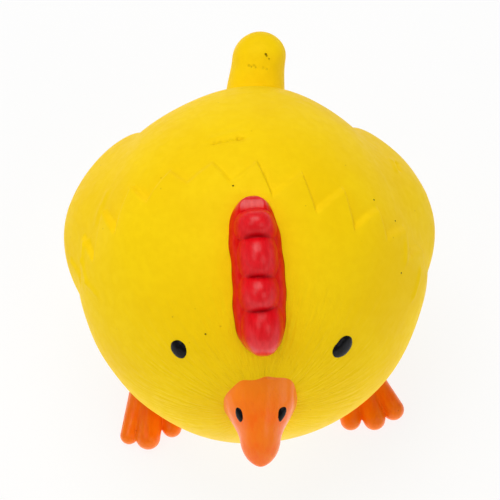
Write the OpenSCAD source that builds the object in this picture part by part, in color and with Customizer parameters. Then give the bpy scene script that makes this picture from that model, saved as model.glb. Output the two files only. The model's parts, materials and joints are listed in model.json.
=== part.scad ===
// Squeaky rubber chicken: a round latex body on two webbed feet, with a comb, a beak, two wings and a
// tail stub, a soft filling, and a reed squeaker set into the belly. It faces -Y and stands on z = 0.

/* [Body] */
// Radius of the round front of the body, which carries the face
body_r = 46.5; // [40:0.5:58]
// How much smaller the radius of the rump is
rump_taper = 3.5; // [1:0.5:4]
// How far the centre of the rump lies behind the centre of the body
rump_back = 6.9; // [5:0.1:10]
// Thickness of the latex skin
skin_t = 2.5; // [1.5:0.1:3.5]
// Width of the flat ring that the belly rests on, outside the flange of the squeaker
belly_rim = 3; // [2:0.5:6]

/* [Comb] */
// Elevation of the front end of the comb, seen from the centre of the body
comb_front = 30; // [28:1:36]
// Elevation of the back end of the comb
comb_back = 81; // [70:1:88]
// Width of the comb at the skin
comb_w = 13.5; // [10:0.5:18]
// Width of the lobed ridge on top
ridge_w = 8.5; // [6:0.5:9.5]
// Height of the sloping skirt below the lobes
skirt_h = 4; // [2:0.5:6]
// Height of the lobes above the skin
comb_h = 9; // [7:0.5:14]
// Number of lobes
comb_lobes = 4; // [3:1:6]

/* [Beak] */
// Elevation of the root of the beak, seen from the centre of the body
beak_elev = 9; // [4:1:12]
// How far the beak points below the horizontal, in degrees
beak_droop = 15; // [0:1:25]
// How far the beak is bent to its right
beak_turn = 6; // [0:1:10]
// Radius at the root
beak_root_r = 9.2; // [7:0.1:11]
// Radius of the rounded tip
beak_tip_r = 3.4; // [2:0.1:5]
// Distance from the centre of the root to the centre of the tip
beak_l = 14.6; // [10:0.1:20]
// Depth of the root's centre below the skin
beak_sink = 3; // [1:0.5:5]
// Length of a nostril
nostril_l = 3.1; // [2:0.1:4]
// Width of a nostril
nostril_w = 1.5; // [1:0.1:2]
// Thickness of the dried paint that fills a nostril
nostril_t = 0.3; // [0.2:0.05:0.6]
// Distance of the nostrils in front of the root's centre
nostril_fwd = 4.4; // [3:0.1:6]
// Angle of each nostril from the top of the beak
nostril_angle = 43; // [30:1:60]

/* [Eyes] */
// Elevation of the left eye
eye_elev = 25; // [15:1:35]
// How much higher the right eye is painted
eye_skew = 3.5; // [0:0.5:4]
// Angle of each eye from the midline
eye_azim = 30; // [24:1:40]
// Height of an eye
eye_h = 5.6; // [4:0.1:8]
// Width of an eye
eye_w = 4.6; // [3:0.1:7]
// How far an eye stands out
eye_t = 0.8; // [0.5:0.1:1.5]

/* [Wings] */
// Angle of the middle of a wing from the front of the body
wing_azim = 109; // [95:1:112]
// How much further back the right wing lies
wing_skew = 6; // [0:1:10]
// Elevation of the middle of a wing
wing_elev = 6; // [0:1:12]
// How far a wing rises towards its rear end, in degrees
wing_rise = 18; // [0:1:30]
// Length of a wing
wing_l = 44; // [36:1:52]
// Width of a wing
wing_w = 30; // [22:1:36]
// How far a wing stands out from the skin
wing_t = 4; // [3:0.5:7]

/* [Tail] */
// Elevation of the tail's root, seen from the centre of the rump
tail_elev = 20; // [10:1:35]
// Distance of the tail's root from the midline
tail_side = 5; // [0:0.5:6]
// Angle at which the tail rises
tail_rise = 40; // [25:1:60]
// Angle at which the tail leans to its side
tail_lean = 8; // [0:1:15]
// Radius of the ball at the root, about which the tail bends
tail_root_r = 7.9; // [6:0.1:9]
// Radius of the rounded tip
tail_tip_r = 7.4; // [5:0.1:9]
// Distance from the centre of the root to the centre of the tip
tail_l = 11.8; // [8:0.2:18]
// Depth of the root's centre below the skin
tail_sink = 2; // [1:0.5:4]
// Angle at which the mouth of the tail's socket opens
mouth_flare = 28; // [15:1:30]

/* [Feet] */
// Angle of each ankle from the front of the body
ankle_azim = 70; // [60:1:80]
// Height of the ankle's centre above the ground
ankle_z = 6; // [5:0.5:9]
// Distance of the ankle's centre outside the skin
ankle_out = 1.7; // [1:0.1:3]
// Radius of the ball at the ankle, about which the foot bends
ankle_r = 5.5; // [4.5:0.1:6.5]
// Angle at which the right foot points outwards
toe_out = 9; // [0:1:14]
// How much further outwards the left foot points
foot_skew = 8; // [0:1:10]
// Angle between neighbouring toes
toe_splay = 21; // [16:1:26]
// Distance from the ankle to the centre of the middle toe's tip
toe_l = 17; // [14:0.2:22]
// How much shorter the inner toe is
inner_toe_less = 1.8; // [0:0.2:4]
// Radius of a toe at its tip
toe_r = 3.3; // [2.5:0.1:4]
// Radius of a toe at the instep
instep_r = 4.6; // [3.8:0.1:5.4]
// Distance from the ankle to the edge of the web between two toes
web_l = 12.5; // [10:0.5:15]
// Radius of the web's rounded edge
web_r = 2.4; // [1.5:0.1:3]

/* [Squeaker] */
// Radius of the flange held in the belly
flange_r = 12; // [11:0.5:15]
// Thickness of the flange
flange_t = 1.6; // [1:0.1:2.5]
// Outer radius of the cup
cup_r = 9.5; // [8:0.1:10]
// Height of the cup, from the underside of its flange
cup_h = 13.5; // [13:0.5:18]
// Thickness of the cup's wall and floor
cup_t = 1.2; // [0.8:0.1:1.6]
// Thickness of the latex lip under the flange
lip_t = 1; // [0.6:0.1:2]
// How far the lip reaches in under the flange
lip_w = 1.5; // [0.8:0.1:1.8]
// Thickness of the latex over the flange
collar_t = 1.5; // [1:0.1:3]
// Thickness of the perforated lid
lid_t = 1.2; // [0.8:0.1:2]
// Radius of each air hole in the lid
lid_hole_r = 0.9; // [0.5:0.1:1.3]
// Number of air holes
lid_holes = 8; // [4:1:10]

/* [Reed] */
// Radius of the plug that holds the reed
plug_r = 3; // [2.5:0.1:3.5]
// Length of the plug
plug_l = 10.5; // [9:0.5:11]
// Length of the clamping half of the plug
clamp_l = 4; // [3:0.5:5]
// Length of the sleeve that grips the plug
sleeve_l = 5; // [4:0.5:7]
// Length of the reed
reed_l = 9; // [8:0.5:9.5]
// Width of the reed
reed_w = 3.6; // [2.6:0.1:4]
// Thickness of the reed
reed_t = 0.2; // [0.1:0.05:0.4]
// Width of the air channel behind the reed
channel_w = 2.4; // [1.5:0.1:2.5]
// Depth of the air channel
channel_d = 1.4; // [0.8:0.1:1.8]
// Angle through which the reed swings to each side
reed_swing = 3.5; // [2:0.5:4]

/* [Clearances] */
// Between the skin and the pieces that sit on it
seat_gap = 0.3; // [0.2:0.05:0.6]
// Around a ball that bends in its socket
ball_gap = 0.3; // [0.2:0.05:0.6]
// Around a piece that is gripped or trapped
fit_gap = 0.05; // [0.02:0.01:0.2]
// On each face of the reed, where it is clamped
reed_gap = 0.15; // [0.12:0.01:0.2]
// Around the filling
fill_gap = 0.4; // [0.2:0.1:1]

/* [Hidden] */
$fn = 120;
far = 300;
rump_r = body_r - rump_taper;
belly_r = flange_r + belly_rim;
body_z = sqrt(body_r * body_r - belly_r * belly_r);
belly_t = lip_t + flange_t + collar_t;

// Place on the body's ball: 0 degrees of azimuth is straight ahead, 90 is towards +X
function on_ball(r, azim, elev) =
  [r * cos(elev) * sin(azim), -r * cos(elev) * cos(azim), r * sin(elev)];

beak_root = on_ball(body_r - beak_sink, 0, beak_elev);
tail_root = [
  tail_side,
  rump_back + (rump_r - tail_sink) * cos(tail_elev),
  (rump_r - tail_sink) * sin(tail_elev)
];

// The body is placed so that the beak's tip and the tail's tip lie equally far from the origin
front_y = beak_root.y - beak_l * cos(beak_droop) * cos(beak_turn) - beak_tip_r;
back_y = tail_root.y + tail_l * cos(tail_lean) * cos(tail_rise) + tail_tip_r;
body_y = -(front_y + back_y) / 2;

ankle_ring = sqrt(pow(body_r + ankle_out, 2) - pow(body_z - ankle_z, 2));
ankle_x = ankle_ring * sin(ankle_azim);
ankle_y = body_y - ankle_ring * cos(ankle_azim);

cup_top = lip_t + cup_h;
lid_r = cup_r - cup_t - fit_gap;
sleeve_r = plug_r + fit_gap;
sleeve_out_r = sleeve_r + cup_t;
reed_slot = reed_t / 2 + reed_gap;
reed_z = lip_t + 0.5;
reed_root_z = (reed_z + lip_t + clamp_l) / 2;

echo(body_z = body_z, body_y = body_y, front_y = front_y, back_y = back_y);
echo(tail_root = tail_root + [0, body_y, body_z], ankle = [ankle_x, ankle_y, ankle_z]);
echo(reed_root_z = reed_root_z);

// Two balls of radius r1 and r2 in a line, d apart, joined by a cone that meets both at a slight crease
module pod(r1, r2, d) {
  n = (r1 - r2) / d;
  c = 0.985 * sqrt(1 - n * n);
  rotate_extrude()
    intersection() {
      union() {
        circle(r1);
        translate([0, d]) circle(r2);
        polygon([[0, 0], [r1 * c, r1 * n], [r2 * c, d + r2 * n], [0, d]]);
      }
      translate([0, -2 * r1]) square([2 * r1, 4 * r1 + 2 * d]);
    }
}

// A pod from one point to another
module pod_between(p1, r1, p2, r2) {
  v = p2 - p1;
  d = norm(v);
  translate(p1)
    rotate([0, acos(v.z / d), atan2(v.y, v.x)])
      pod(r1, r2, d);
}

module at_body() {
  translate([0, body_y, body_z]) children();
}

module at_belly(z) {
  translate([0, body_y, z]) children();
}

// Turns +Z to a direction on the body's ball, and +Y up along the skin
module facing(azim, elev) {
  rotate([90 - elev, 0, azim]) children();
}

module both_sides(side) {
  mirror([side < 0 ? 1 : 0, 0, 0]) children();
}

// The outer form of the body, grown by g
module body_form(g = 0) {
  at_body() {
    sphere(body_r + g);
    translate([0, rump_back, 0]) sphere(rump_r + g);
  }
}

module above(z) {
  translate([-far, -far, z]) cube([2 * far, 2 * far, far]);
}

module tail_frame() {
  at_body()
    translate(tail_root)
      rotate([tail_rise - 90, tail_lean, 0])
        children();
}

// The mouth of the tail's socket: a cone that starts inside the socket's ball and widens outwards
module tail_mouth() {
  start_r = tail_root_r - 0.5;
  tail_frame() cylinder(r1 = start_r, r2 = start_r + tail_l * tan(mouth_flare), h = tail_l);
}

// Balls at the tail's root and at both ankles, grown by g
module root_balls(g) {
  at_body() translate(tail_root) sphere(tail_root_r + g);
  for (side = [-1, 1])
    translate([side * ankle_x, ankle_y, ankle_z]) sphere(ankle_r + g);
}

module squeaker_space(g) {
  at_belly(lip_t - g) cylinder(r = flange_r + g, h = flange_t + 2 * g);
  at_belly(lip_t) cylinder(r = cup_r + g, h = cup_h + g);
}

// Skin: hollow, closed below by a pad that holds the squeaker, with a thick socket at each root ball
module latex_skin() {
  color([0.93, 0.74, 0.05])
    difference() {
      intersection() {
        body_form();
        above(0);
      }
      difference() {
        intersection() {
          body_form(-skin_t);
          above(belly_t);
        }
        root_balls(ball_gap + skin_t);
      }
      root_balls(ball_gap);
      tail_mouth();
      squeaker_space(fit_gap);
      at_belly(-1) cylinder(r = flange_r - lip_w, h = lip_t + 2);
    }
}

module filling() {
  color([0.95, 0.95, 0.92])
    difference() {
      intersection() {
        body_form(-skin_t - fill_gap);
        above(belly_t + fill_gap);
      }
      root_balls(ball_gap + skin_t + fill_gap);
      squeaker_space(fill_gap);
    }
}

module squeaker_cup() {
  color([0.92, 0.93, 0.94])
    at_belly(lip_t)
      difference() {
        union() {
          cylinder(r = flange_r, h = flange_t);
          cylinder(r = cup_r, h = cup_h);
        }
        difference() {
          translate([0, 0, cup_t]) cylinder(r = cup_r - cup_t, h = cup_h);
          cylinder(r = sleeve_out_r, h = sleeve_l);
        }
        translate([0, 0, -1]) cylinder(r = sleeve_r, h = cup_h);
      }
}

module squeaker_lid() {
  hole_ring = (lid_r + sleeve_r) / 2;
  color([0.92, 0.93, 0.94])
    at_belly(cup_top - lid_t)
      difference() {
        cylinder(r = lid_r, h = lid_t);
        for (i = [0 : lid_holes - 1])
          rotate(i * 360 / lid_holes)
            translate([hole_ring, 0, -1]) cylinder(r = lid_hole_r, h = lid_t + 2);
      }
}

// The half of the plug behind the reed. Above the clamp its face leans back, and the reed beats on it.
// The air channel runs down it from under its closed top.
module reed_trough() {
  color([0.85, 0.12, 0.10])
    at_belly(lip_t)
      difference() {
        cylinder(r = plug_r, h = plug_l);
        translate([-far, reed_slot - far, -far]) cube([2 * far, far, 2 * far]);
        translate([0, reed_slot, clamp_l])
          rotate([-reed_swing - 1, 0, 0])
            translate([-far, -far, 0]) cube([2 * far, far, far]);
        translate([-channel_w / 2, 0, -1])
          cube([channel_w, reed_slot + channel_d, plug_l]);
      }
}

// The short half of the plug, which holds the root of the reed against the trough
module reed_clamp() {
  color([0.85, 0.12, 0.10])
    at_belly(lip_t)
      difference() {
        cylinder(r = plug_r, h = clamp_l);
        translate([-far, -reed_slot, -far]) cube([2 * far, far, 2 * far]);
      }
}

module reed() {
  color([0.80, 0.84, 0.88])
    at_belly(reed_z)
      translate([-reed_w / 2, -reed_t / 2, 0]) cube([reed_w, reed_t, reed_l]);
}

// Distance from the body's centre to the skin, in the direction d
function skin_r(d) =
  let (q = d.y * rump_back)
  max(body_r, q + sqrt(q * q - rump_back * rump_back + rump_r * rump_r));

// A pad that lies on the skin, around a place on the body's ball. Its middle line starts straight down,
// turned by roll, and is half_l long each way. wide(s) is its half width at the share s of its half
// length, and thick(u, s) its thickness u to the side of the middle line. Each ring of points runs along
// its underside and back over its top.
module pad(azim, elev, roll, half_l, wide, thick, stations, across) {
  out = on_ball(1, azim, elev);
  level = [cos(azim), sin(azim), 0];
  upward = cross(out, level);
  along = upward * cos(roll) - level * sin(roll);
  sideways = level * cos(roll) + upward * sin(roll);
  shares = [for (j = [0 : stations - 1]) 0.998 * sin(180 * j / (stations - 1) - 90)];
  ring = 2 * (across + 1);
  points = [
    for (s = shares, k = [0 : ring - 1])
      let (
        top = k > across,
        a = top ? 1 - 2 * (k - across - 1) / across : 2 * k / across - 1,
        u = a * wide(s),
        v = s * half_l,
        w = sqrt(body_r * body_r - u * u - v * v),
        d = (sideways * u + along * v + out * w) / body_r
      )
      d * (skin_r(d) + seat_gap + (top ? thick(u, s) : 0))
  ];
  sides = [
    for (j = [0 : stations - 2], k = [0 : ring - 1])
      let (a = j * ring + k, b = j * ring + (k + 1) % ring)
      each [[a, a + ring, b], [b, a + ring, b + ring]]
  ];
  ends = [
    for (k = [0 : across - 1])
      let (m = ring - 1 - k, n = (stations - 1) * ring)
      each [[k, k + 1, m], [k + 1, m - 1, m], [n + k, n + m, n + k + 1], [n + k + 1, n + m, n + m - 1]]
  ];
  at_body() polyhedron(points, concat(sides, ends));
}

// Comb: a skirt that slopes up from the skin to a ridge of rounded lobes
module comb() {
  half_l = body_r * sin((comb_back - comb_front) / 2);
  lobes_from = -0.7;
  lobes_to = 0.84;
  lobed = function (s)
    let (x = (s - lobes_from) / (lobes_to - lobes_from))
    x <= 0 || x >= 1 ? 0 : max(sqrt(abs(sin(180 * comb_lobes * x))), 0.55 * sqrt(sin(180 * x)));
  wide = function (s) comb_w / 2 * pow(1 - pow(abs(s), 3), 0.4);
  thick = function (u, s)
    let (
      out = min(1, (comb_w / 2 - abs(u)) / (comb_w - ridge_w) * 2),
      inside = sqrt(max(0, 1 - pow(2 * u / ridge_w, 2))),
      end = sqrt(1 - pow(abs(s), 6))
    )
    0.6 + (skirt_h - 0.6) * end * sin(90 * max(0, out)) + (comb_h - skirt_h) * inside * lobed(s);
  color([0.75, 0.05, 0.05])
    pad(0, (comb_front + comb_back) / 2, 0, half_l, wide, thick, 57, 14);
}

module beak_frame() {
  at_body()
    translate(beak_root)
      facing(-beak_turn, -beak_droop)
        children();
}

module beak() {
  color([0.90, 0.36, 0.04])
    difference() {
      beak_frame() pod(beak_root_r, beak_tip_r, beak_l);
      body_form(seat_gap);
    }
}

// A nostril: a thin oval of dark paint that follows the curve of the beak
module nostril(side) {
  straight = nostril_l - nostril_w;
  color([0.04, 0.04, 0.04])
    intersection() {
      beak_frame()
        difference() {
          pod(beak_root_r + nostril_t, beak_tip_r + nostril_t, beak_l);
          pod(beak_root_r, beak_tip_r, beak_l);
        }
      beak_frame()
        rotate(-side * nostril_angle)
          translate([0, 0, nostril_fwd])
            rotate([-90, 0, 0])
              linear_extrude(2 * beak_root_r) {
                square([nostril_w, straight], center = true);
                for (end = [-1, 1])
                  translate([0, end * straight / 2]) circle(nostril_w / 2);
              }
    }
}

module left_nostril() {
  nostril(1);
}

module right_nostril() {
  nostril(-1);
}

module eye(side) {
  wide = function (s) eye_w / 2 * sqrt(1 - s * s);
  thick = function (u, s) 0.15 + eye_t * sqrt(1 - s * s) * (1 - pow(2 * u / eye_w, 2) / 1.01);
  color([0.04, 0.04, 0.04])
    pad(side * eye_azim, eye_elev + (side < 0 ? eye_skew : 0), 0, eye_h / 2, wide, thick, 17, 10);
}

module left_eye() {
  eye(1);
}

module right_eye() {
  eye(-1);
}

// A wing: a pad with a full rounded front that narrows and thins towards its raised rear end
module wing(side) {
  wide = function (s) wing_w / 2 * (1 - 0.25 * s) * pow(1 - s * s, 0.45);
  thick = function (u, s)
    0.5 + wing_t * sqrt(1 - s * s) * pow(max(0, 1 - pow(u / wing_w * 1.7, 2)), 0.7);
  color([0.90, 0.72, 0.06])
    both_sides(side)
      pad(wing_azim + (side < 0 ? wing_skew : 0), wing_elev, wing_rise - 90, wing_l / 2, wide, thick, 29, 12);
}

module left_wing() {
  wing(1);
}

module right_wing() {
  wing(-1);
}

module tail() {
  color([0.93, 0.74, 0.05])
    tail_frame() pod(tail_root_r, tail_tip_r, tail_l);
}

// A foot: three toes with a web between them and a flat sole, on a ball that sits in the belly
module foot(side) {
  tip = function (l, angle, z) [l * sin(angle), -l * cos(angle), z];
  both_sides(side)
    intersection() {
      union() {
        translate([ankle_x, ankle_y, ankle_z]) sphere(ankle_r);
        difference() {
          translate([ankle_x, ankle_y, 0])
            rotate(toe_out + (side > 0 ? foot_skew : 0)) {
              pod_between([0, -2, instep_r], instep_r, tip(toe_l, 0, toe_r - 0.2), toe_r);
              for (turn = [-1, 1]) {
                toe_end = tip(toe_l - (turn < 0 ? inner_toe_less : 0), turn * toe_splay, toe_r - 0.25);
                web_end = tip(web_l, turn * toe_splay / 2, web_r - 0.2);
                pod_between([turn * 2, -1, instep_r - 0.3], instep_r - 0.3, toe_end, toe_r - 0.1);
                pod_between([turn, -2.5, instep_r - 1], instep_r - 1, web_end, web_r);
              }
            }
          body_form(seat_gap);
        }
      }
      above(0);
    }
}

module left_foot() {
  color([0.88, 0.38, 0.05]) foot(1);
}

module right_foot() {
  color([0.88, 0.38, 0.05]) foot(-1);
}

latex_skin();
filling();
squeaker_cup();
squeaker_lid();
reed_trough();
reed_clamp();
reed();
comb();
beak();
left_nostril();
right_nostril();
left_eye();
right_eye();
left_wing();
right_wing();
tail();
left_foot();
right_foot();
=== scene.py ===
import json
import math

import bpy
import numpy as np
from mathutils import Matrix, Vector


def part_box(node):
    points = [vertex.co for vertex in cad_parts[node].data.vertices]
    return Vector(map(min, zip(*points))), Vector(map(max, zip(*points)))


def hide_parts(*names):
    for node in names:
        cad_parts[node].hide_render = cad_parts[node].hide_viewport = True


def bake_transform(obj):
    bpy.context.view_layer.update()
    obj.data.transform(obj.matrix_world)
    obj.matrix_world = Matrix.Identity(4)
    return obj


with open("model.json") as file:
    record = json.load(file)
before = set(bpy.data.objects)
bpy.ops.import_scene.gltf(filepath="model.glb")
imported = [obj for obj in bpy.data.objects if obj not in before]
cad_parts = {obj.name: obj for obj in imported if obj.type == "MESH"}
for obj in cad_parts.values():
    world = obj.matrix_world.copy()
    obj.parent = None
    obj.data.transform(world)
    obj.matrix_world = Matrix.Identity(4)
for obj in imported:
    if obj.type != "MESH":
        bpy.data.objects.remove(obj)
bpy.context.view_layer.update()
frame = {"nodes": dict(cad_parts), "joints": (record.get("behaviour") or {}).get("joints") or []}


# Latex skin
# The body is a hollow ball of dipped latex, yellow all through, with a smaller ball run into its back for
# the rump. It is peeled off its form through the hole in the belly, which then grips the squeaker's flange.
MM = 0.001
skin_low, skin_high = [np.array(corner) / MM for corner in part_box("latex_skin")]
cup_low, cup_high = [np.array(corner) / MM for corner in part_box("squeaker_cup")]
body_r = (skin_high[0] - skin_low[0]) / 2
body_centre = np.array([0.0, skin_low[1] + body_r, skin_high[2] - body_r])
rump_taper = 3.5
rump_r = body_r - rump_taper
rump_back = skin_high[1] - body_centre[1] - rump_r
rump_crease = 1.2
skin_t = 2.5


def toward(azim, elev):
    """Unit direction from the body's centre. Azimuth 0 is straight ahead, along -Y, and 90 is along +X."""
    azim, elev = np.broadcast_arrays(np.radians(azim), np.radians(elev))
    return np.stack([np.cos(elev) * np.sin(azim), -np.cos(elev) * np.cos(azim), np.sin(elev)], -1)


def ease(x, start, end):
    """0 up to start, 1 from end on, and 3t^2 - 2t^3 between them, where t runs from 0 to 1."""
    t = np.clip((x - start) / (end - start), 0, 1)
    return t * t * (3 - 2 * t)


def bell(x, wide):
    """A bell curve: 1 where x is 0, and exp(-(x / wide)^2) away from there."""
    return np.exp(-((x / wide) ** 2))


def ball_reach(d):
    """Distance from the body's centre to the plain skin along d: the farther of the two balls, with the
    crease between them eased by a hyperbola."""
    q = d[..., 1] * rump_back
    rump = q + np.sqrt(q * q - rump_back**2 + rump_r**2)
    return (body_r + rump + np.hypot(body_r - rump, rump_crease)) / 2


hackle_pitch = 13.8
hackle_tip = 2.4
hackle_h = 1.1
hackle_edge = 1.7
hackle_fall = 14.0


def hackles(d):
    """Height of the neck feathers. Their tips make a zigzag around the forward axis: a triangle wave about a
    line that comes forward on the chicken's left, with its valleys off the middle, so that each feather
    leans. The head's side of it stands proud by hackle_h, more on the sides and most on the chicken's right,
    and dies away towards the head as a bell curve."""
    from_front = np.degrees(np.arccos(np.clip(-d[..., 1], -1, 1)))
    round_front = np.degrees(np.arctan2(d[..., 0], d[..., 2]))
    share = ((round_front - hackle_tip) / hackle_pitch) % 1
    valley = 0.4 - 0.13 * ease(round_front, -15, 8)
    tooth = 1 - 2 * np.minimum(share / valley, (1 - share) / (1 - valley))
    line = 87 + 6 * ease(round_front, -66, -22) - 13.5 * ease(round_front, -22, 42)
    tall = 3.2 + 2.8 * ease(np.abs(round_front + 19), 5, 30) - 2.4 * ease(round_front, 34, 50)
    zigzag = line + tall * tooth
    proud = ease(from_front, zigzag + hackle_edge, zigzag - hackle_edge)
    fall = bell(np.minimum(from_front - line + tall, 0), hackle_fall)
    strength = 0.9 + 0.3 * ease(np.abs(round_front + 3), 10, 40)
    strength = strength + 0.7 * ease(round_front, -15, -35) - 0.7 * ease(round_front, -42, -58)
    return hackle_h * strength * proud * fall * (1 - ease(np.abs(round_front), 66, 95))


def lumps(d):
    """Uneven latex: two products of slow sines over the ball, a quarter of a millimetre high, and a few wide
    bell curves where the ball sags or swells: each one's place, its height and its width on a unit ball."""
    x, y, z = d[..., 0], d[..., 1], d[..., 2]
    slow = 0.2 * np.sin(5.3 * x + 2.1 * z + 0.4) * np.cos(4.1 * y - 3.3 * x)
    slow = slow + 0.1 * np.sin(9.7 * y + 6.1 * z) * np.sin(8.3 * x - 5.2 * y + 1)
    swells = (
        (-60, -18, -0.9, 0.45),
        (-157, 29, -1.0, 0.3),
        (58, -16, 0.5, 0.45),
        (174, 32, 1.1, 0.4),
        (78, 8, 0.6, 0.25),
    )
    for azim, elev, height, wide in swells:
        slow = slow + height * bell(np.linalg.norm(d - toward(azim, elev), axis=-1), wide)
    return slow


def along_line(d, start, end):
    """How far d lies along the straight line between two directions, from 0 to 1, and its distance from that
    line over the skin, in millimetres."""
    run = end - start
    share = np.clip((d - start) @ run / (run @ run), 0, 1)
    return share, body_r * np.linalg.norm(d - start - share[..., None] * run, axis=-1)


cut_start, cut_end = toward(-144, 72), toward(-176, 74.4)
welt_shift = np.array([0, 0.035, -0.009])


def old_cut(d):
    """A healed cut across the back: a dent that widens from its start to its end, each cross-section a bell
    curve, with a pit near the wide end and a low welt behind it."""
    share, off = along_line(d, cut_start, cut_end)
    dent = 0.5 * bell(off, 0.7 + 0.9 * share)
    pit_place = cut_start + 0.88 * (cut_end - cut_start)
    pit = 0.5 * bell(body_r * np.linalg.norm(d - pit_place, axis=-1), 0.9)
    welt = 0.2 * bell(along_line(d, cut_start + welt_shift, cut_end + welt_shift)[1], 1.2)
    return welt - dent - pit


def folds(d):
    """Low welts and a nick near the wings, each a bell curve across a straight line between two directions:
    its ends, its height and its width in millimetres."""
    lines = (
        ((-90, 25), (-84, 21.5), 0.5, 0.8),
        ((-84, 21.5), (-76, 20.5), 0.5, 0.8),
        ((-76, 20.5), (-70, 22), 0.4, 0.8),
        ((-104, 36), (-94, 31), 0.3, 1.2),
        ((73, 19.5), (64, 16.5), 0.5, 0.8),
        ((75, 31.5), (69, 29), 0.35, 0.8),
        ((110, 27), (113.5, 25), -0.6, 0.6),
        ((109, 28.5), (114, 27), 0.3, 0.8),
    )
    height = 0
    for start, end, high, wide in lines:
        height = height + high * bell(along_line(d, toward(*start), toward(*end))[1], wide)
    return height


def on_skin(d, height):
    """The point that lies height above the skin's relief, in the direction d from the body's centre."""
    reach = ball_reach(d) + hackles(d) + lumps(d) + old_cut(d) + folds(d) + height
    return body_centre + d * reach[..., None]


def closed_piece(name, rings, material, crease=40):
    """A closed mesh over a grid of points in millimetres. Each ring of the grid closes on itself and is
    joined to the next by quads, and a fan to the middle of the first and the last ring closes the ends.
    The sign of the volume inside turns the faces outwards. Each point keeps its place as an attribute, so
    that paint and wear stay on the rubber when it is squeezed."""
    m, n = rings.shape[:2]
    points = np.concatenate([rings.reshape(-1, 3), rings[:1].mean(1), rings[-1:].mean(1)])
    i, j = np.mgrid[: m - 1, :n]
    k = (j + 1) % n
    quads = np.stack([i * n + j, i * n + k, i * n + n + k, i * n + n + j], -1).reshape(-1, 4)
    j, k = j[0], k[0]
    last = (m - 1) * n
    first_fan = np.stack([0 * j + m * n, k, j], -1)
    last_fan = np.stack([0 * j + m * n + 1, last + j, last + k], -1)
    fans = np.concatenate([first_fan, last_fan])
    triangles = np.concatenate([quads[:, :3], quads[:, [0, 2, 3]], fans])
    a, b, c = (points[triangles[:, corner]] for corner in range(3))
    if (a * np.cross(b, c)).sum() < 0:
        quads, fans = quads[:, ::-1], fans[:, ::-1]
    mesh = bpy.data.meshes.new(name)
    mesh.from_pydata((points * MM).tolist(), [], quads.tolist() + fans.tolist())
    mesh.polygons.foreach_set("use_smooth", np.ones(len(mesh.polygons), bool))
    mesh.set_sharp_from_angle(angle=math.radians(crease))
    mesh.attributes.new("rest", "FLOAT_VECTOR", "POINT").data.foreach_set("vector", (points * MM).ravel())
    mesh.materials.append(material)
    piece = bpy.data.objects.new(name, mesh)
    bpy.context.scene.collection.objects.link(piece)
    return piece


class Wire:
    """An output of a material's node. Python's operators add Math nodes, and node() adds any other."""

    def __init__(self, tree, socket):
        self.tree = tree
        self.socket = socket

    def node(self, kind, settings, inputs, output=0):
        """Adds a node of this kind, with its settings first and then the values or wires of its inputs."""
        made = self.tree.nodes.new("ShaderNode" + kind)
        for name, value in settings.items():
            setattr(made, name, value)
        for name, value in inputs.items():
            if isinstance(value, Wire):
                self.tree.links.new(value.socket, made.inputs[name])
            else:
                made.inputs[name].default_value = value
        return Wire(self.tree, made.outputs[output])

    def math(self, operation, first, second):
        """A Math node's result on two values or wires."""
        return self.node("Math", {"operation": operation}, {0: first, 1: second})

    def __add__(self, other):
        return self.math("ADD", self, other)

    def __sub__(self, other):
        return self.math("SUBTRACT", self, other)

    def __mul__(self, other):
        return self.math("MULTIPLY", self, other)

    def __rsub__(self, other):
        return self.math("SUBTRACT", other, self)

    __radd__ = __add__
    __rmul__ = __mul__

    def larger(self, other):
        """The larger of this value and another."""
        return self.math("MAXIMUM", self, other)

    def ease(self, start, end):
        """0 at start and 1 at end, as the function of that name."""
        inputs = {"Value": self, "From Min": start, "From Max": end}
        return self.node("MapRange", {"interpolation_type": "SMOOTHSTEP"}, inputs)

    def tint(self, first, second):
        """The first colour where this value is 0, and the second where it is 1."""
        return self.node("Mix", {"data_type": "RGBA"}, {0: self, 6: first, 7: second}, 2)

    def noise(self, size, detail=2.0, rough=0.5):
        """Noise with features of that size in millimetres, from about 0.3 to 0.7, at these coordinates."""
        inputs = {"Vector": self, "Scale": 1 / (size * MM), "Detail": detail, "Roughness": rough}
        return self.node("TexNoise", {}, inputs)

    def stretched(self, x, y, z):
        """These coordinates, each divided by how far the pattern is drawn out along it."""
        return self.node("Mapping", {}, {"Vector": self, "Scale": (1 / x, 1 / y, 1 / z)})

    def distance(self, point):
        """Distance in millimetres from a point in millimetres."""
        apart = self.node("VectorMath", {"operation": "DISTANCE"}, {0: self, 1: tuple(point * MM)}, "Value")
        return apart * (1 / MM)

    def distance_to_line(self, start, end):
        """Distance in millimetres from the straight line between two points in millimetres."""
        run = (end - start) * MM
        offset = self.node("VectorMath", {"operation": "SUBTRACT"}, {0: self, 1: tuple(start * MM)})
        along = tuple(run / (run @ run))
        share = offset.node("VectorMath", {"operation": "DOT_PRODUCT"}, {0: offset, 1: along}, "Value")
        share = share.node("Clamp", {}, {"Value": share})
        nearest = share.node("VectorMath", {"operation": "MULTIPLY"}, {0: share, 1: tuple(run)})
        apart = offset.node("VectorMath", {"operation": "DISTANCE"}, {0: offset, 1: nearest}, "Value")
        return apart * (1 / MM)

    def into(self, shader, socket):
        """Links this output to a shader's socket."""
        self.tree.links.new(self.socket, shader.inputs[socket])

    def bump(self, shader, depth):
        """Feeds the shader's normal with a bump, which rises by depth millimetres as this value goes from 0
        to 1."""
        made = self.node("Bump", {}, {"Height": self, "Distance": depth * MM, "Strength": 1.0})
        made.into(shader, "Normal")


def display(red, green, blue):
    """A colour as a screen shows it, from 0 to 255, as linear light."""
    parts = [channel / 255 for channel in (red, green, blue)]
    return (*[c / 12.92 if c <= 0.04045 else ((c + 0.055) / 1.055) ** 2.4 for c in parts], 1.0)


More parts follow.
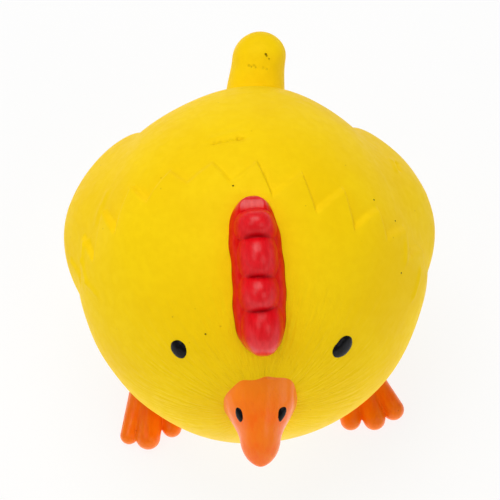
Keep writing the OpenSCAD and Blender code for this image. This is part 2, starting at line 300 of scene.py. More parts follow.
def finish(name, **constants):
    """A new material, its shader with those constants on its own sockets, and a wire of each point's place
    at rest."""
    material = bpy.data.materials.new(name)
    material.use_nodes = True
    shader = material.node_tree.nodes["Principled BSDF"]
    for socket, value in constants.items():
        shader.inputs[socket.replace("_", " ")].default_value = value
    at_rest = material.node_tree.nodes.new("ShaderNodeAttribute")
    at_rest.attribute_name = "rest"
    return material, shader, Wire(material.node_tree, at_rest.outputs["Vector"])


beak_azim, beak_elev = -1.2, 8.5


def latex_finish(name, pinholes, shaded_scuffs):
    """Matte yellow latex: slow drifts of tone, a fine dimpled surface, small pits tinted darker as painted
    shade, fine wrinkles that run out from the beak, and a pale patch under it, which is painted light
    bounced up from the table. Pinholes that bubbles left are points with a radius and a depth, filled dark
    as painted shade, and each scuffed line is a pair of points with broken skin between them, dented and
    tinted darker as painted shade in the dent."""
    material, shader, place = finish(name, Specular_IOR_Level=0.05)
    drift = place.noise(24, 3).ease(0.35, 0.65)
    grain = place.noise(2.2, 4).ease(0.3, 0.7)
    cells = place.node("TexVoronoi", {}, {"Vector": place, "Scale": 1 / (3.6 * MM)}, "Distance")
    pit = (1 - cells.ease(0.02, 0.09)) * place.noise(9, 1).ease(0.5, 0.62)
    pinhole_dip_and_shade = 0 * drift
    for point, radius, depth in pinholes:
        pinhole_dip_and_shade = pinhole_dip_and_shade.larger(depth * (1 - place.distance(point).ease(0.4 * radius, radius)))
    scuff_and_shade = 0 * drift
    for start, end in shaded_scuffs:
        ragged = place.distance_to_line(start, end) + 1.6 * place.noise(0.9, 3)
        scuff_and_shade = scuff_and_shade.larger(1 - ragged.ease(0.7, 1.7))
    # Painted light: a pale patch under the chin, for light bounced up from the table.
    painted_chin_light = 1 - place.distance(on_skin(toward(0, -38), 0)).ease(8, 34)
    face = on_skin(toward(beak_azim, beak_elev), 0)
    from_face = place.distance(face)
    x = place.node("SeparateXYZ", {}, {0: place}, "X") - face[0] * MM
    z = place.node("SeparateXYZ", {}, {0: place}, "Z") - face[2] * MM
    spoke = place.node("CombineXYZ", {}, {0: 24 * x.math("ARCTAN2", x, z), 1: 0.12 * from_face})
    wrinkle = spoke.node("TexNoise", {}, {"Vector": spoke, "Scale": 1.0, "Detail": 2.0})
    wrinkle = wrinkle * (1 - from_face.ease(22, 50))
    base = drift.tint(display(245, 203, 6), display(249, 210, 10))
    base = (grain * 0.25).tint(base, display(238, 194, 4))
    # Painted light: the chin is tinted pale, as if lit from the table below.
    base = (0.45 * painted_chin_light).tint(base, display(252, 220, 110))
    # Painted shade: the small pits are tinted darker for the shade inside them.
    base = (pit * 0.5).tint(base, display(190, 140, 0))
    # Painted shade: the scuffed line is tinted darker for the shade in its dent, over the dent in the bump.
    base = (0.3 * scuff_and_shade).tint(base, display(196, 152, 0))
    # Painted shade: each pinhole is filled dark brown for the shade inside it.
    base = (0.95 * pinhole_dip_and_shade).tint(base, display(84, 54, 0))
    base.into(shader, "Base Color")
    (0.5 + 0.1 * grain + 0.05 * drift).into(shader, "Roughness")
    dimples = 0.5 * grain + 0.5 * place.noise(7, 3) + 4 * wrinkle
    (dimples - 0.5 * pit - 1.2 * scuff_and_shade - 2.5 * pinhole_dip_and_shade).bump(shader, 0.12)
    return material


def skin_rings():
    """The skin from the pole inside its top, down its inner wall, round the squeaker's seat and the lip of
    the belly, and up its outer face to the top again. Each ring goes once round the upright axis."""
    columns = 360
    azim = np.linspace(0, 360, columns, endpoint=False)
    inner_elev = np.linspace(89.4, -64, 36)
    inner = toward(azim, inner_elev[:, None])
    inner = body_centre + inner * (ball_reach(inner) - skin_t)[..., None]
    lip_t = cup_low[2]
    lip_w = 1.5
    lip_round = 0.25
    flange_t = 1.6
    flange_r = (cup_high[0] - cup_low[0]) / 2
    collar_t = 1.5
    cup_r = 9.5
    fit = 0.05
    belly_rim = 2.8
    flange_top = lip_t + flange_t
    belly_t = flange_top + collar_t
    inner[..., 2] = np.maximum(inner[..., 2], belly_t)
    lip_r = flange_r - lip_w
    seat = np.array([
        (cup_r + fit, belly_t),
        (cup_r + fit, flange_top + fit),
        (flange_r + fit, flange_top + fit),
        (flange_r + fit, lip_t - fit),
        (lip_r, lip_t - fit),
        (lip_r, lip_round),
        (lip_r + lip_round, 0),
        (flange_r + belly_rim, 0),
    ])
    out = toward(azim, 0)
    seat_x, seat_y = seat[:, :1] * out[:, 0], body_centre[1] + seat[:, :1] * out[:, 1]
    seat = np.stack([seat_x, seat_y, seat[:, 1:] + 0 * azim], -1)
    flat_elev = -math.degrees(math.asin(body_centre[2] / body_r))
    outer_elev = np.concatenate([np.linspace(flat_elev, 14, 46, endpoint=False), np.linspace(14, 89.6, 168)])
    outer = on_skin(toward(azim, outer_elev[:, None]), 0)
    outer[..., 2] = np.maximum(outer[..., 2], 0)
    return np.concatenate([inner, seat, outer])


bubble_r, bubble_depth = 0.32, 1
bubbles = on_skin(toward([-21.8, 85.9, 82.3, 64.4, -49.5], [36.4, 47, 36.4, 28.9, 82.8]), 0)
skin_pinholes = [(point, bubble_r, bubble_depth) for point in bubbles]
# The scuffed line across the back: a dent, tinted darker as painted shade.
skin_shaded_scuffs = [on_skin(np.stack([cut_start, cut_end]), -0.2)]
yellow_latex = latex_finish("yellow_latex", skin_pinholes, skin_shaded_scuffs)
skin = closed_piece("skin", skin_rings(), yellow_latex)
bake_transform(skin)
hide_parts("latex_skin")


# Filling
# A loose wad of white polyester fibre, pushed in through the belly before the squeaker. It keeps the ball
# round, and leaves a pocket above the squeaker for the air.
def filling_rings():
    """A ball with tufts, which are products of sines, a little inside the skin, pressed flat over the belly
    and hollowed round the cup."""
    gap, tuft_h = 0.6, 0.7
    floor_z = 4.8
    pocket_r, pocket_z = 11.0, cup_high[2] + 1.0
    d = toward(np.linspace(0, 360, 160, endpoint=False), np.linspace(89, -88, 110)[:, None])
    x, y, z = d[..., 0], d[..., 1], d[..., 2]
    tufts = np.sin(13 * x + 4 * z) * np.sin(11 * y - 3 * x + 1)
    tufts = tufts + np.sin(23 * z + 9 * y) * np.sin(19 * x - 5 * z)
    reach = ball_reach(d) - skin_t - gap - tuft_h * (2 + tufts)
    down = np.maximum(-z, 0.01)
    reach = np.minimum(reach, (body_centre[2] - floor_z) / down)
    over_cup = (body_centre[2] - pocket_z) / down
    inside = np.hypot(x, y) * over_cup < pocket_r
    reach = np.where((z < 0) & inside, np.minimum(reach, over_cup), reach)
    return body_centre + d * reach[..., None]


def fibre_finish():
    """Crimped white fibre: long paler strands, and painted grey shade in the hollows that the bump makes
    between tufts.
    """
    material, shader, place = finish("fibre", Specular_IOR_Level=0.2, Sheen_Weight=0.4)
    strand = place.stretched(1, 5, 1).noise(0.5, 5, 0.7)
    tuft = place.noise(6, 4)
    # Painted shade: grey where the bump is low, in the hollows between tufts.
    pale_strands_and_shade = (0.6 * strand + 0.4 * tuft).ease(0.3, 0.65)
    pale_strands_and_shade.tint(display(205, 204, 198), display(244, 244, 240)).into(shader, "Base Color")
    (0.8 + 0.2 * tuft).into(shader, "Roughness")
    (strand + tuft).bump(shader, 0.6)
    return material


filling = closed_piece("filling_wad", filling_rings(), fibre_finish(), crease=80)
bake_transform(filling)
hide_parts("filling")


# Squeaker
# A moulded cup with a flange and a perforated lid, snapped into the belly. The red plug pressed into its
# sleeve is two half rounds that clamp a strip of film, and air through it makes the squeak.
def moulded_finish(name, colour, shade, rough, **constants):
    """Moulded plastic: faint flow lines in the colour and a finely uneven gloss. It is stiff, so its pattern
    lies on object coordinates."""
    material, shader, place = finish(name, **constants)
    place = place.node("TexCoord", {}, {}, "Object")
    flow = place.stretched(1, 1, 4).noise(2.5, 3).ease(0.35, 0.65)
    flow.tint(colour, shade).into(shader, "Base Color")
    (rough + 0.12 * place.noise(0.6, 3)).into(shader, "Roughness")
    place.noise(0.9, 2).bump(shader, 0.02)
    return material


cup_white, cup_shade = display(232, 234, 235), display(218, 222, 226)
plug_red, plug_shade = display(206, 34, 28), display(188, 24, 22)
film_grey, film_shade = display(210, 218, 226), display(198, 208, 218)
cup_plastic = moulded_finish("clear_plastic", cup_white, cup_shade, 0.22, Transmission_Weight=0.25)
plug_plastic = moulded_finish("red_plastic", plug_red, plug_shade, 0.28)
film = moulded_finish("reed_film", film_grey, film_shade, 0.12, Transmission_Weight=0.5)
squeaker_finishes = {
    "squeaker_cup": cup_plastic,
    "squeaker_lid": cup_plastic,
    "reed_trough": plug_plastic,
    "reed_clamp": plug_plastic,
    "reed": film,
}
for node, plastic in squeaker_finishes.items():
    frame["nodes"][node].material_slots[0].material = plastic


# Wings
# Each wing is a soft swelling of the same latex, moulded on the side of the body. It rises out of the back
# without an edge, and ends in a rolled rim at the front and below.
def ball_frame(azim, elev, roll):
    """Directions out of the skin at a place on the ball, along the piece, and to its side: along is straight
    up the skin when roll is 0, and leans towards -azimuth as roll grows."""
    out = toward(azim, elev)
    level = toward(azim + 90, 0)
    upward = np.cross(out, level)
    cos, sin = math.cos(math.radians(roll)), math.sin(math.radians(roll))
    return out, upward * cos - level * sin, level * cos + upward * sin


def ball_direction(frame_at, u, v):
    """Direction of the point u to the side and v along, on the plane at that place, dropped onto the
    ball."""
    out, along, sideways = frame_at
    w = np.sqrt(body_r**2 - u * u - v * v)
    return (u[..., None] * sideways + v[..., None] * along + w[..., None] * out) / body_r


wing_elev, wing_rise = 9, 18
wing_ahead, wing_upper, wing_lower = 21, 24, 14
wing_sink, wing_bury = 0.03, 0.8


def wing_rings(side, azim, behind, thick):
    """An egg on the ball, from its middle out to its rim and back along its underside, reaching farther up
    than down. Its thickness is a power of 1 - share^2: a low power where the rim is steep, at the ends and
    below, and a high one where it fades into the back above."""
    top = 100
    share = np.concatenate([np.linspace(0.01, 1, top) ** 0.8, np.linspace(0.97, 0.01, 14)])[:, None]
    under = np.arange(len(share))[:, None] >= top
    turn = np.linspace(0, 2 * np.pi, 280, endpoint=False)
    v = share * np.cos(turn) * np.where(np.cos(turn) > 0, behind, wing_ahead)
    u = share * np.sin(turn) * np.where(np.sin(turn) > 0, wing_lower, wing_upper)
    power = 0.58 + 1.7 * ease(-np.sin(turn), 0.0, 0.9) + 0.5 * ease(-np.cos(turn), 0.3, 1)
    height = thick * (1 - np.minimum(share, 1) ** 2) ** power
    height = np.where(under, -wing_bury * (1 - share**4), height) - wing_sink
    d = ball_direction(ball_frame(azim, wing_elev, wing_rise - 90), u, v)
    return on_skin(d * [side, 1, 1], height)


wings = {"left_wing": (1, 107.8, 23.6, 5.4), "right_wing": (-1, 110.3, 25.6, 5.0)}
for name, shape in wings.items():
    wing = closed_piece(name + "_pad", wing_rings(*shape), yellow_latex, crease=70)
    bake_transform(wing)
    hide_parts(name)


# Comb
# A thick ridge of four lobes on a sloping skirt, cast with the head and brushed with red paint, which is
# thick and glossy on the lobes and thin and orange over the skirt.
comb_front, comb_back = 31.3, 81
comb_w, skirt_h, comb_h = 13.5, 4.0, 9.0
comb_sink, comb_bury = 0.3, 0.8
comb_folds = (0.74, 0.456, 0.014, -0.364, -0.85)


def comb_rings():
    """Rings across the comb, each out along its underside and back over its top. The height is the skirt's
    slope plus the highest of a row of domes between the folds: each a power of 1 less the shares of its
    width and length. Also how deep each point lies in the folds between domes, a mask for painted shade, and
    how glossy its paint is."""
    half_l = body_r * math.sin(math.radians(comb_back - comb_front) / 2)
    s = 0.999 * np.sin(np.linspace(-np.pi / 2, np.pi / 2, 260))[:, None]
    under_n = 20
    across = np.concatenate([
        np.linspace(-1, 1, under_n, endpoint=False), np.sin(np.linspace(np.pi / 2, -np.pi / 2, 100))])
    under = np.arange(len(across)) < under_n
    edge = np.where(across > 0, 1, -1)
    wobble = 0.18 * np.sin(6 * s + 2 * edge) + 0.1 * np.sin(17 * s - edge)
    wobble = wobble - (0.7 + 0.5 * edge) * ease(s, 0.35, 0.95)
    half_w = (comb_w / 2 + wobble) * (1 - np.abs(s) ** 5) ** 0.45
    u, v = np.broadcast_arrays(across * half_w, s * half_l)
    domes = []
    for lobe, (back, front) in enumerate(zip(comb_folds, comb_folds[1:])):
        aside = 0.25 * math.sin(2.3 * lobe + 0.5)
        middle, long = (back + front) / 2 * half_l, 0.74 * (back - front) * half_l
        wide = 4.9 + 0.2 * math.cos(2.1 * lobe)
        share = np.abs((u - aside) / wide) ** 2.3 + np.abs((v - middle) / long) ** 2.2
        domes.append(np.clip(1 - share, 0, 1) ** 1.05)
    order = np.argsort(domes, 0)
    lower, ridge = np.sort(domes, 0)[-2:]
    behind = order[-1] < order[-2]
    # Painted shade: the folds between the lobes are marked here, to be painted darker and less glossy.
    fold_shade = bell(ridge - lower, np.where(behind, 0.3, 0.12)) * ease(ridge, 0.1, 0.45)
    fold_shade = fold_shade * bell(u, 4.2) * ease(lower, 0.05, 0.3)
    inward = half_w - np.abs(u)
    end = (1 - np.abs(s) ** 18) ** 0.5
    slope = np.clip(inward / (3.2 - 1.4 * ease(s, 0.75, 0.9)), 0, 1)
    skirt = end * skirt_h * np.sin(np.pi / 2 * slope) ** 0.85
    height = skirt - comb_sink + (comb_h - skirt_h + comb_sink) * ridge
    height = np.where(under, -comb_bury, height)
    gloss = np.maximum(0.06 + 0.6 * ease(ridge, 0.55, 0.95), ease(s, 0.78, 0.86) * ease(slope, 0.1, 0.5))
    gloss = np.maximum(gloss, 0.9 * ease(s, -0.62, -0.85)) * (1 - 0.7 * fold_shade)
    d = ball_direction(ball_frame(0, (comb_front + comb_back) / 2, 0), u, v)
    return on_skin(d, height), {"fold_shade": fold_shade, "gloss": gloss}


def comb_finish():
    """Red gloss paint: crimson where it is thick on the lobes, orange where it lies thinly over the skirt,
    with brush streaks, and painted shade that darkens the folds between the lobes and the comb's foot at the
    skin."""
    material, shader, place = finish("red_latex", Specular_IOR_Level=0.05, Coat_Roughness=0.32)
    height = place.distance(body_centre) - body_r
    thick = (height + 2.2 * place.noise(3.5, 3)).ease(4.4, 7.0)
    streak = place.stretched(1, 3, 3).noise(0.8, 4, 0.6).ease(0.35, 0.65)
    fold_shade = place.node("Attribute", {"attribute_name": "fold_shade"}, {}, "Fac")
    gloss = place.node("Attribute", {"attribute_name": "gloss"}, {}, "Fac")
    base = streak.tint(display(214, 6, 3), display(224, 30, 6))
    base = thick.tint(base, streak.tint(display(216, 4, 18), display(228, 10, 24)))
    # Painted shade: the comb's foot, where it meets the skin, is darkened for the shade that falls there.
    foot = 1 - (height + 0.5 * streak).ease(0.3, 1.1)
    base = (0.6 * foot).tint(base, display(128, 10, 4))
    # Painted shade: darker paint in the folds between the lobes.
    base = (0.85 * fold_shade).tint(base, display(150, 0, 8))
    base.into(shader, "Base Color")
    (0.3 + 0.12 * place.noise(1.2, 4)).into(shader, "Roughness")
    (gloss * (0.75 + 0.25 * streak)).into(shader, "Coat Weight")
    (0.5 * streak + place.noise(1.6, 4)).bump(shader, 0.035)
    return material


comb_points, comb_marks = comb_rings()
comb = closed_piece("comb_ridge", comb_points, comb_finish(), crease=70)
for mark, values in comb_marks.items():
    layer = comb.data.attributes.new(mark, "FLOAT", "POINT")
    layer.data.foreach_set("value", np.append(values.ravel(), [0, 0]).astype(np.float32))
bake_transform(comb)
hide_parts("comb")


# Beak
# A thick soft cone of latex with a ridge on each side of its flat top, bent a little to one side. It is
# brushed with orange paint that runs out onto the face in an uneven edge.
beak_droop, beak_turn = 15, 3.5
beak_l, beak_sink, beak_bury = 17.25, 3.0, 4.0
root_bury = 1.2
beak_root = body_centre + (body_r - beak_sink) * toward(beak_azim, beak_elev)
beak_axis = toward(-beak_turn, -beak_droop)
beak_level = toward(90 - beak_turn, 0)
beak_up = np.cross(beak_axis, beak_level)


def spread_at_skin(point, out, spread, near):
    """The points of a surface moved outwards by spread where they meet the skin, and by a share of it that
    dies away as exp(-height / near) above the skin."""
    reach = point - body_centre
    above = np.linalg.norm(reach, axis=-1)
    above = above - ball_reach(reach / above[..., None])
    return point + (spread * np.exp(-np.maximum(above, 0) / near))[..., None] * out


def held_under_skin(point):
    """The points of a surface, with those that lie deeper than root_bury under the skin lifted to there."""
    reach = np.linalg.norm(point - body_centre, axis=-1, keepdims=True)
    d = (point - body_centre) / reach
    return body_centre + d * np.maximum(reach, ball_reach(d)[..., None] - root_bury)


def beak_surface(t, turn):
    """The beak's face t millimetres along its axis, turn radians from its top. Each section is an ellipse,
    with a power of 2, or up to 3.3 near the root, where it is squarer. Its width narrows on an S-curve to a
    finger with a round end, and its top falls in a straight line with two low ridges. The mouth is a soft
    groove along each side, and the root flares near the skin."""
    root_r, finger_r, cap_l = 9.15, 5.25, 7.75
    cap = 1 - np.clip((t - beak_l + cap_l) / cap_l, 0, 1) ** 2.2
    wide = (finger_r + (root_r - finger_r) * (1 - ease(t, 1, 11))) * cap**0.6
    tall = (9.2 - 0.36 * t) * cap**0.5
    deep = 0.85 * wide
    upper = np.cos(turn)
    near_root = 1 - ease(t, 2, 9)
    shoulder = 0.05 * bell(turn - 0.8, 0.3) - 0.03 * bell(turn + 0.9, 0.3)
    square = 2 + 1.3 * near_root * ease(upper, 0, 0.3)
    mouth = 0.05 * bell(np.abs(turn) - 1.9, 0.07) * ease(t, beak_l - 1, beak_l - 5)
    tiny = 1e-6
    sideways = np.abs(np.sin(turn)) / np.maximum(wide, tiny)
    upright = np.abs(upper) / np.maximum(np.where(upper > 0, tall, deep), tiny)
    radius = (sideways**square + upright**square) ** (-1 / square)
    ridges = bell(turn + 0.42, 0.14) + bell(turn - 0.14, 0.14)
    radius = radius * (1 + shoulder * near_root + 0.022 * ridges * (1 - ease(t, 4, 12)) - mouth)
    bend = -0.012 * np.maximum(t - 6, 0) ** 2
    line = beak_root + t[..., None] * beak_axis + bend[..., None] * beak_up
    out = np.sin(turn)[..., None] * beak_level + upper[..., None] * beak_up
    spread = 0.3 + 0.1 * np.sin(5 * turn + 1) + 0.06 * np.sin(11 * turn)
    return spread_at_skin(line + radius[..., None] * out, out, spread, 0.5)


def beak_rings():
    """Rings from the tip to the buried root, closer together near the tip."""
    share = np.concatenate([np.linspace(0.0, 0.32, 44)[1:] ** 2, np.linspace(0.11, 1, 104)])
    t = beak_l - (beak_l + beak_bury) * share
    turn = np.linspace(-np.pi, np.pi, 220, endpoint=False)
    return held_under_skin(beak_surface(*np.broadcast_arrays(t[:, None], turn)))


def orange_finish(name, gloss):
    """Orange paint brushed on latex: deep and even where it is thick, and paler along the streaks. It is
    paler near the face, where it is thinly brushed and where painted light lifts the beak's root, and paler
    low on the toes, towards the ground. It has a satin gloss and a few specks."""
    material, shader, place = finish(name, Specular_IOR_Level=0.1, Coat_Roughness=0.25)
    patch = place.noise(5, 3).ease(0.35, 0.65)
    streak = place.stretched(1, 4, 2).noise(0.9, 4, 0.6).ease(0.35, 0.65)
    base = patch.tint(display(255, 108, 2), display(255, 120, 4))
    base = (0.3 * streak).tint(base, display(255, 134, 16))
    cells = place.node("TexVoronoi", {}, {"Vector": place, "Scale": 1 / (4.5 * MM)}, "Distance")
    speck = 1 - cells.ease(0.02, 0.06)
    # Paler near the skin: partly paint brushed thinly there, and partly painted light that brightens the
    # beak's root.
    thin_paint_and_root_light = 1 - (place.distance(body_centre) - body_r + 1.5 * patch).ease(1.5, 6)
    # Paler towards the ground, low on the toes.
    paler_low = 1 - (place.node("SeparateXYZ", {}, {0: place}, "Z") * (1 / MM) + 4 * patch).ease(2.5, 7)
    base = (0.45 * thin_paint_and_root_light.larger(paler_low)).tint(base, display(255, 146, 10))
    base = (0.6 * speck).tint(base, display(176, 62, 0))
    base.into(shader, "Base Color")
    (0.3 + 0.12 * place.noise(1.5, 3)).into(shader, "Roughness")
    (gloss * (0.8 + 0.4 * patch)).into(shader, "Coat Weight")
    (streak + patch - speck).bump(shader, 0.06)
    return material


beak = closed_piece("beak_cone", beak_rings(), orange_finish("beak_latex", 0.45), crease=70)
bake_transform(beak)
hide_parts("beak")


# Nostrils
# Two drops of black paint, set on the top of the beak with the tip of a brush. Each is thicker in the middle
# than at its rim, where it has run into the orange.
def black_finish():
    """Black enamel: nearly smooth, with a bluish bloom and a little dust."""
    material, shader, place = finish("black_paint", Specular_IOR_Level=0.12)
    bloom = place.noise(1.4, 3).ease(0.35, 0.7)
    bloom.tint(display(5, 4, 4), display(20, 20, 25)).into(shader, "Base Color")
    (0.12 + 0.14 * place.noise(0.5, 3)).into(shader, "Roughness")
    place.noise(0.7, 3).bump(shader, 0.05)
    return material


def drop_outline(rings, columns):
    """Shares from the middle of a drop to its rim and back along its underside, which of them are under, and
    the turn of each column."""
    share = np.concatenate([np.linspace(0.02, 1, rings) ** 0.7, np.linspace(0.9, 0.05, 6)])[:, None]
    under = np.arange(len(share))[:, None] >= rings
    return share, under, np.linspace(0, 2 * np.pi, columns, endpoint=False)


nostril_forward, nostril_angle, nostril_lean = 5.3, 42, 0.22
nostril_l, nostril_w, nostril_t = 3.4, 2.2, 0.32
nostril_sink, nostril_bury = 0.06, 0.3


def nostril_rings(side):
    """An oval over the beak's face, with its middle nostril_forward along the beak and nostril_angle round
    from its top. It is domed as the root of 1 - share^2, and leans forward with the fall of the beak."""
    across_r = 8.0
    share, under, turn = drop_outline(16, 48)
    wobble = 1 + 0.03 * np.sin(3 * turn + side) + 0.02 * np.sin(5 * turn)
    v = nostril_l / 2 * share * wobble * np.cos(turn)
    u = nostril_w / 2 * share * wobble * np.sin(turn) + nostril_lean * v
    at = side * (math.radians(nostril_angle) + u / across_r)
    out = np.sin(at)[..., None] * beak_level + np.cos(at)[..., None] * beak_up
    height = np.where(under, -nostril_bury, nostril_t * (1 - share**2) ** 0.5 - nostril_sink)
    return beak_surface(nostril_forward + v, at) + height[..., None] * (out + 0.35 * beak_axis)


black_paint = black_finish()
for side, name in ((1, "left_nostril"), (-1, "right_nostril")):
    nostril = closed_piece(name + "_drop", nostril_rings(side), black_paint, crease=70)
    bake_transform(nostril)
    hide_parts(name)


# Eyes
# Two thick drops of the same black paint, set by hand, so that no two are alike: the chicken's right eye is
# an egg, and its left eye a longer bean with a dent in its upper edge.
eye_t, eye_sink, eye_bury = 0.75, 0.08, 0.5


def eye_rings(azim, elev, roll, length, width, egg, dent):
    """A domed drop on the skin: an ellipse, wider at one end by egg, and drawn in on one side by dent."""
    share, under, turn = drop_outline(24, 96)
    wobble = 1 + 0.015 * np.sin(3 * turn + azim) + 0.008 * np.sin(7 * turn)
    wobble = wobble - dent * bell(turn - 1.5 * np.pi, 0.35)
    v = length / 2 * share * wobble * np.cos(turn)
    u = width / 2 * share * wobble * np.sin(turn) * (1 + egg * np.cos(turn))
    height = np.where(under, -eye_bury, eye_t * (1 - share**2.4) ** 0.55 - eye_sink)
    return on_skin(ball_direction(ball_frame(azim, elev, roll), u, v), height)


eyes = {
    "right_eye": (-30.4, 28.1, 30, 5.2, 4.4, 0.16, 0.0),
    "left_eye": (29.4, 25.2, -62, 6.6, 5.3, -0.04, 0.13),
}
for name, shape in eyes.items():
    eye = closed_piece(name + "_drop", eye_rings(*shape), black_paint, crease=70)
    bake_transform(eye)
    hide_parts(name)


# Tail
# A blunt stub of the same latex, cast with the rump and a little squared by its form. It bends from side to
# side at its root, and air bubbles have left pits on its upper face.
joints = {joint["name"]: joint for joint in frame["joints"]}
tail_root = np.array(joints["tail_bend"]["pos_m"]) / MM
tail_l, tail_tip_r, tail_root_r, tail_bury = 11.8, 7.5, 8.2, 9
tail_rise, tail_lean = math.radians(40), math.radians(8)
tail_axis = np.array([
    math.sin(tail_rise) * math.sin(tail_lean),
    math.cos(tail_rise),
    math.sin(tail_rise) * math.cos(tail_lean),
])
tail_side = np.cross(tail_axis, [0, 0, 1.0])
tail_side = tail_side / np.linalg.norm(tail_side)
tail_up = np.cross(tail_side, tail_axis)


def tail_surface(t, turn):
    """The tail's face t millimetres along its axis, turn radians from its left side: a slightly squared
    finger with a round end that leans to the left, and a flare where it meets the rump."""
    cap = np.sqrt(np.maximum(tail_tip_r**2 - np.maximum(t - tail_l, 0) ** 2, 0))
    taper = (tail_root_r - tail_tip_r) * (1 - ease(t, 0, tail_l))
    radius = cap + taper + 0.07 * np.sin(0.5 * t + 2 * turn)
    left, up = np.cos(turn), np.sin(turn)
    radius = radius * (1 - 0.04 * up**2 - 0.02 * np.cos(4 * turn))
    out = left[..., None] * tail_side + up[..., None] * tail_up
    sway = 1.0 * ease(t, 2, 18) + 0 * turn
    point = tail_root + t[..., None] * tail_axis + radius[..., None] * out + sway[..., None] * tail_side
    return spread_at_skin(point, out, 0.6, 0.6)


def tail_rings():
    """Rings from the tip to the buried root, closer together round the tip."""
    cap = tail_tip_r * np.sin(np.linspace(np.pi / 2 - 0.02, 0, 40, endpoint=False))
    t = np.concatenate([tail_l + cap, np.linspace(tail_l, -tail_bury, 90)])
    turn = np.linspace(0, 2 * np.pi, 180, endpoint=False)
    return held_under_skin(tail_surface(*np.broadcast_arrays(t[:, None], turn)))


tail_pits = np.array([
    (13.4, 1.30, 0.42, 0.90),
    (13.0, 1.27, 0.36, 0.70),
    (12.2, 1.17, 0.30, 0.50),
    (10.2, 1.90, 0.55, 0.25),
    (9.9, 1.80, 0.40, 0.35),
    (10.3, 1.71, 0.50, 0.22),
    (9.8, 1.64, 0.35, 0.30),
    (9.7, 1.36, 0.60, 0.15),
    (9.4, 1.20, 0.50, 0.18),
])
pit_t, pit_turn, pit_r, pit_depth = tail_pits.T
tail_latex = latex_finish("tail_latex", zip(tail_surface(pit_t, pit_turn), pit_r, pit_depth), ())
tail = closed_piece("tail_stub", tail_rings(), tail_latex, crease=70)
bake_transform(tail)
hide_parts("tail")


# Feet
# Each foot is three blunt toes with a thick web between them, cast flat below, on a short ankle that goes up
# into the belly. It is brushed with the beak's orange paint.
def capsule(p, start, start_r, end, end_r):
    """Distance of p outside a round bar between two points, whose radius changes evenly from end to end."""
    run = end - start
    share = np.clip((p - start) @ run / (run @ run), 0, 1)
    off = np.linalg.norm(p - start - share[..., None] * run, axis=-1)
    return off - (start_r + share * (end_r - start_r))


def toe_end(length, angle, z):
    """The point length ahead of the ankle, angle degrees aside and z above the ground."""
    angle = math.radians(angle)
    return np.array([length * math.sin(angle), -length * math.cos(angle), z])


def foot_bars(toes):
    """The bars that make up a foot, around its ankle on the ground: the ankle, the toes, and a web between
    each toe and the next. A toe is its angle, its length and its radius."""
    ankle_z, ankle_h, ankle_back, ankle_r = 6, 4, 1.5, 5.5
    instep_l, instep_r, instep_spread = 4.2, 3.7, 2.4
    web_root_l, web_root_r, web_r, web_short = 3.5, 3.0, 1.8, 4.4
    sole = 0.2
    yield np.array([0, 0, ankle_z]), ankle_r, np.array([0, ankle_back, ankle_z + ankle_h]), ankle_r
    for angle, length, radius in toes:
        instep = toe_end(instep_l, angle * instep_spread, instep_r + 0.6)
        yield instep, instep_r, toe_end(length, angle, radius - sole), radius
    for (angle, length, _), (next_angle, next_length, _) in zip(toes, toes[1:]):
        between = (angle + next_angle) / 2
        web = toe_end(min(length, next_length) - web_short, between, web_r - sole)
        yield toe_end(web_root_l, between, web_root_r), web_root_r, web, web_r


def foot_rings(ankle, side, toe_out, toes):
    """Rays from inside the foot to its surface, found by halving: the surface is where the eased least of
    the bars' distances is 0. Rays lie closer together towards the toes, and those that go down stop at the
    ground."""
    toe_out = math.radians(toe_out)
    heart = np.array([0, -3, 3.4])
    a = np.linspace(-np.pi, np.pi, 320, endpoint=False)
    a = a - 0.55 * np.sin(a)
    e = np.linspace(np.pi / 2 - 0.02, -np.pi / 2 + 0.02, 150)[:, None]
    d = np.stack([np.cos(e) * np.sin(a), -np.cos(e) * np.cos(a), np.sin(e) + 0 * a], -1)
    past_foot, soft = 32.0, 0.28
    near, far = np.zeros(d.shape[:2]), np.full(d.shape[:2], past_foot)
    for _ in range(24):
        middle = (near + far) / 2
        p = heart + middle[..., None] * d
        gaps = np.stack([capsule(p, *bar) for bar in foot_bars(toes)])
        gap = -soft * np.log(np.exp(-gaps / soft).sum(0))
        near, far = np.where(gap < 0, middle, near), np.where(gap < 0, far, middle)
    to_ground = np.where(d[..., 2] < -0.01, heart[2] / np.maximum(-d[..., 2], 0.01), np.inf)
    p = heart + np.minimum(near, to_ground)[..., None] * d
    x = p[..., 0] * math.cos(toe_out) - p[..., 1] * math.sin(toe_out)
    y = p[..., 0] * math.sin(toe_out) + p[..., 1] * math.cos(toe_out)
    return np.stack([ankle[0] + side * x, ankle[1] + y, p[..., 2]], -1)


foot_latex = orange_finish("foot_latex", 0.2)
feet = {
    "left_foot": (1, 17, ((-23, 15.9, 2.9), (0, 16.9, 3.1), (21, 17.2, 3.0))),
    "right_foot": (-1, 9, ((-25, 14.8, 2.7), (0, 17.3, 3.4), (18, 17.5, 2.5))),
}
for name, (side, toe_out, toes) in feet.items():
    ankle = np.array(joints[name + "_bend"]["pos_m"]) / MM
    foot = closed_piece(name + "_toes", foot_rings(ankle, side, toe_out, toes), foot_latex, crease=60)
    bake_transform(foot)
    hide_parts(name)


# Studio
# A white table that glows as a lit sweep does, in a pale room. A soft box stands on each side of the camera,
# and a larger panel lights the chicken's back from above.
camera_turn, camera_elev, camera_away, camera_lift = 4.5, 58.5, 600, 5.4
lamp_away = 900
walls, ceiling = 0.38, 0.18
table_half = 4.0


def look(thing, place, target):
    """Puts a lamp or camera at a place and turns it to a target, both in millimetres."""
    back = place - target
    back = back / np.linalg.norm(back)
    right = np.cross([0, 0, 1.0], back)
    right = right / np.linalg.norm(right)
    turned = np.eye(4)
    turned[:3, :3] = np.stack([right, np.cross(back, right), back], -1)
    turned[:3, 3] = place * MM
    thing.matrix_world = Matrix(turned.tolist())


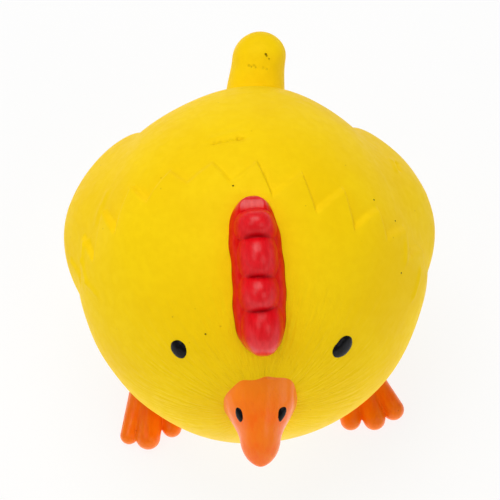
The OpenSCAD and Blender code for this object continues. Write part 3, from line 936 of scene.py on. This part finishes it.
back = toward(-camera_turn, camera_elev)
right = toward(90 - camera_turn, 0)
up = np.cross(back, right)
camera = bpy.data.objects.new("camera", bpy.data.cameras.new("camera"))
camera.data.sensor_width = 36
camera.data.lens = 160.3
bpy.context.scene.collection.objects.link(camera)
look(camera, body_centre + camera_away * back, body_centre + camera_lift * up)
bpy.context.scene.camera = camera

lamps = {
    "left_box": (-27, 8, 0.5, 1.3),
    "right_box": (32, -10, 0.5, 1.2),
    "back_panel": (-8, 48, 0.7, 5.4),
}
for name, (aside, above, size, watts) in lamps.items():
    aside, above = math.radians(aside), math.radians(above)
    d = math.cos(aside) * (math.cos(above) * back + math.sin(above) * up) + math.sin(aside) * right
    lamp = bpy.data.objects.new(name, bpy.data.lights.new(name, "AREA"))
    lamp.data.shape = "SQUARE"
    lamp.data.size = size
    lamp.data.energy = watts
    bpy.context.scene.collection.objects.link(lamp)
    look(lamp, body_centre + lamp_away * d, body_centre)

world = bpy.data.worlds.new("room")
world.use_nodes = True
bpy.context.scene.world = world
room = world.node_tree.nodes["Background"]
room.inputs["Color"].default_value = (1, 1, 1, 1)
way = Wire(world.node_tree, world.node_tree.nodes.new("ShaderNodeTexCoord").outputs["Generated"])
height = way.node("SeparateXYZ", {}, {0: way}, "Z")
shine = walls + (ceiling - walls) * height.ease(0.3, 0.75)
rays = world.node_tree.nodes.new("ShaderNodeLightPath").outputs
seen, through = (Wire(world.node_tree, rays[kind]) for kind in ("Is Camera Ray", "Is Transmission Ray"))
(shine + (1 - shine) * seen.larger(through)).into(room, "Strength")

table_material = bpy.data.materials.new("white_table")
table_material.use_nodes = True
tree = table_material.node_tree
paint = tree.nodes["Principled BSDF"]
paint.inputs["Base Color"].default_value = (0.95, 0.95, 0.95, 1)
paint.inputs["Roughness"].default_value = 0.9
glow = tree.nodes.new("ShaderNodeEmission")
mixed = tree.nodes.new("ShaderNodeMixShader")
mixed.inputs[0].default_value = 0.85
seen = Wire(tree, tree.nodes.new("ShaderNodeLightPath").outputs["Is Camera Ray"])
(1.5 - 0.5 * seen).into(glow, "Strength")
tree.links.new(paint.outputs[0], mixed.inputs[1])
tree.links.new(glow.outputs[0], mixed.inputs[2])
tree.links.new(mixed.outputs[0], tree.nodes["Material Output"].inputs["Surface"])
table_mesh = bpy.data.meshes.new("table")
corners = [(table_half * x, table_half * y, 0) for x, y in ((-1, -1), (1, -1), (1, 1), (-1, 1))]
table_mesh.from_pydata(corners, [], [(0, 1, 2, 3)])
table_mesh.materials.append(table_material)
table = bpy.data.objects.new("table", table_mesh)
bpy.context.scene.collection.objects.link(table)

bpy.context.scene.view_settings.view_transform = "Standard"
